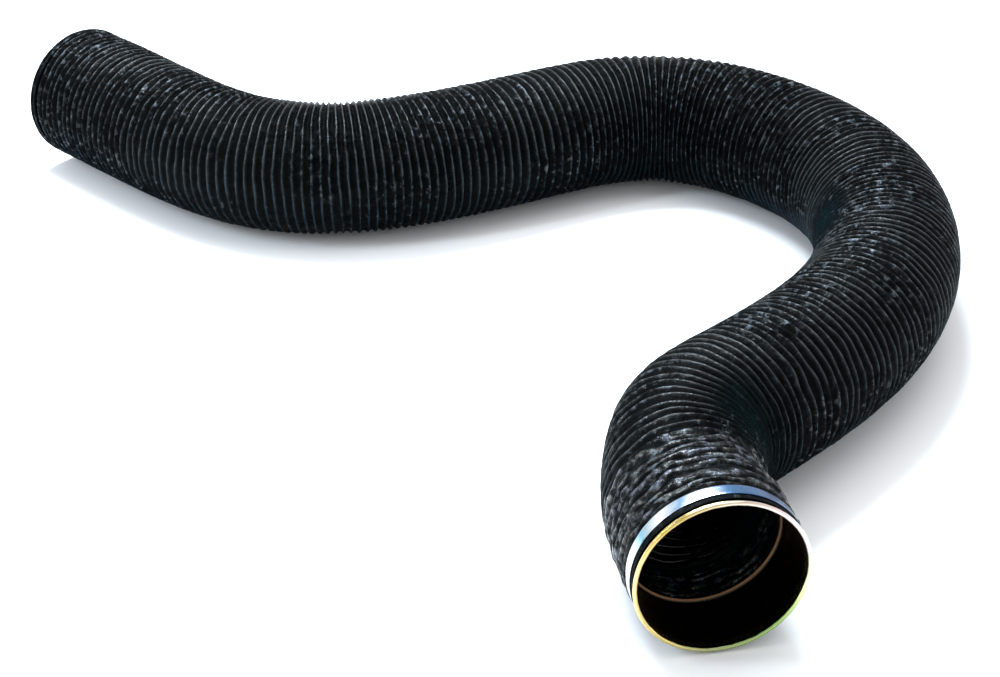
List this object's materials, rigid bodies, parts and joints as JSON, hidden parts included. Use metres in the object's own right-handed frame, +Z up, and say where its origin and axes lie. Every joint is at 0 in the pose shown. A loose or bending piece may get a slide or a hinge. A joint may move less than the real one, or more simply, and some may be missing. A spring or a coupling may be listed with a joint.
{
  "type": "flexible air duct",
  "caption": "Flexible corrugated air duct of coated fabric over a spring wire, lying in an S, with a steel collar clamped to one end and a hem on the other.",
  "frame": {"origin": "on the floor, under the middle of the duct's overall box", "axes": "+Z up from the floor, the duct's shortest side; +X runs from the hemmed far end towards the wide bend; the collar's mouth faces -Y"},
  "size_m": [1.1124, 1.1034, 0.168],
  "materials": {
    "coated_fabric": "black coated polyester, semi-gloss and finely creased between the wires",
    "spring_wire": "dark drawn spring wire",
    "passivated_zinc": "zinc-plated sheet steel with a yellow passivated film",
    "bright_steel": "bright cold-rolled strip, lightly brushed along its length"
  },
  "bodies": {
    "section_01": {"skin_01": "coated_fabric", "wire_01": "spring_wire", "far_hem": "coated_fabric"},
    "section_02": {"skin_02": "coated_fabric", "wire_02": "spring_wire"},
    "section_03": {"skin_03": "coated_fabric", "wire_03": "spring_wire"},
    "section_04": {"skin_04": "coated_fabric", "wire_04": "spring_wire"},
    "section_05": {"skin_05": "coated_fabric", "wire_05": "spring_wire"},
    "section_06": {"skin_06": "coated_fabric", "wire_06": "spring_wire"},
    "section_07": {"skin_07": "coated_fabric", "wire_07": "spring_wire"},
    "section_08": {"skin_08": "coated_fabric", "wire_08": "spring_wire"},
    "section_09": {"skin_09": "coated_fabric", "wire_09": "spring_wire"},
    "section_10": {"skin_10": "coated_fabric", "wire_10": "spring_wire"},
    "section_11": {"skin_11": "coated_fabric", "wire_11": "spring_wire"},
    "section_12": {"skin_12": "coated_fabric", "wire_12": "spring_wire"},
    "section_13": {"skin_13": "coated_fabric", "wire_13": "spring_wire"},
    "section_14": {"skin_14": "coated_fabric", "wire_14": "spring_wire", "collar": "passivated_zinc", "near_cuff": "coated_fabric", "clamp_band": "bright_steel", "worm_housing": "bright_steel"},
    "band_tail": {"band_tail": "bright_steel"},
    "worm_screw": {"worm_screw": "bright_steel"}
  },
  "joints": [
    {"name": "stretch_01", "type": "slide", "parent": "section_02", "child": "section_01", "axis": [-0.7204, 0.6935, 0], "range_m": [-0.012, 0.026]},
    {"name": "lift_02", "type": "hinge", "parent": "section_03", "child": "section_02", "pos_m": [-0.29619, 0.3073, 0.08071], "axis": [0.5518, 0.834, 0], "range_deg": [0, 10]},
    {"name": "bend_03", "type": "hinge", "parent": "section_04", "child": "section_03", "pos_m": [-0.16652, 0.26755, 0.08], "axis": [0, 0, 1], "range_deg": [-4, 8]},
    {"name": "bend_04", "type": "hinge", "parent": "section_05", "child": "section_04", "pos_m": [-0.03388, 0.30196, 0.08], "axis": [0, 0, 1], "range_deg": [-8, 8]},
    {"name": "stretch_05", "type": "slide", "parent": "section_06", "child": "section_05", "axis": [-0.8745, -0.4851, 0], "range_m": [-0.012, 0.026]},
    {"name": "bend_06", "type": "hinge", "parent": "section_07", "child": "section_06", "pos_m": [0.2161, 0.41483, 0.08], "axis": [0, 0, 1], "range_deg": [-8, 4]},
    {"name": "bend_07", "type": "hinge", "parent": "section_08", "child": "section_07", "pos_m": [0.34447, 0.37409, 0.08], "axis": [0, 0, 1], "range_deg": [-8, 4]},
    {"name": "bend_08", "type": "hinge", "parent": "section_08", "child": "section_09", "pos_m": [0.43527, 0.27171, 0.08], "axis": [0, 0, 1], "range_deg": [-6, 8]},
    {"name": "bend_09", "type": "hinge", "parent": "section_09", "child": "section_10", "pos_m": [0.47375, 0.14045, 0.08], "axis": [0, 0, 1], "range_deg": [-6, 8]},
    {"name": "bend_10", "type": "hinge", "parent": "section_10", "child": "section_11", "pos_m": [0.45913, 0.00404, 0.08], "axis": [0, 0, 1], "range_deg": [-6, 8]},
    {"name": "lift_11", "type": "hinge", "parent": "section_11", "child": "section_12", "pos_m": [0.40072, -0.12022, 0.08], "axis": [-0.8313, 0.5559, 0], "range_deg": [0, 10]},
    {"name": "stretch_12", "type": "slide", "parent": "section_12", "child": "section_13", "axis": [-0.7008, -0.7133, 0], "range_m": [-0.012, 0.026]},
    {"name": "bend_13", "type": "hinge", "parent": "section_13", "child": "section_14", "pos_m": [0.21976, -0.32726, 0.08], "axis": [0, 0, 1], "range_deg": [-8, 1]},
    {"name": "worm_turn", "type": "hinge", "parent": "section_14", "child": "worm_screw", "pos_m": [0.28437, -0.50542, 0.02067], "axis": [0.6943, 0.1337, 0.7071], "range_deg": [-1800, 360]},
    {"name": "band_feed", "type": "hinge", "parent": "section_14", "child": "band_tail", "pos_m": [0.22989, -0.53628, 0.08], "axis": [0.1891, -0.982, 0], "range_deg": [-12.5, 2.5]}
  ],
  "couplings": [
    {"joint": "stretch_05", "follows": "stretch_01", "ratio": 1},
    {"joint": "stretch_12", "follows": "stretch_01", "ratio": 1},
    {"joint": "band_feed", "follows": "worm_turn", "ratio": 0.006463}
  ]
}
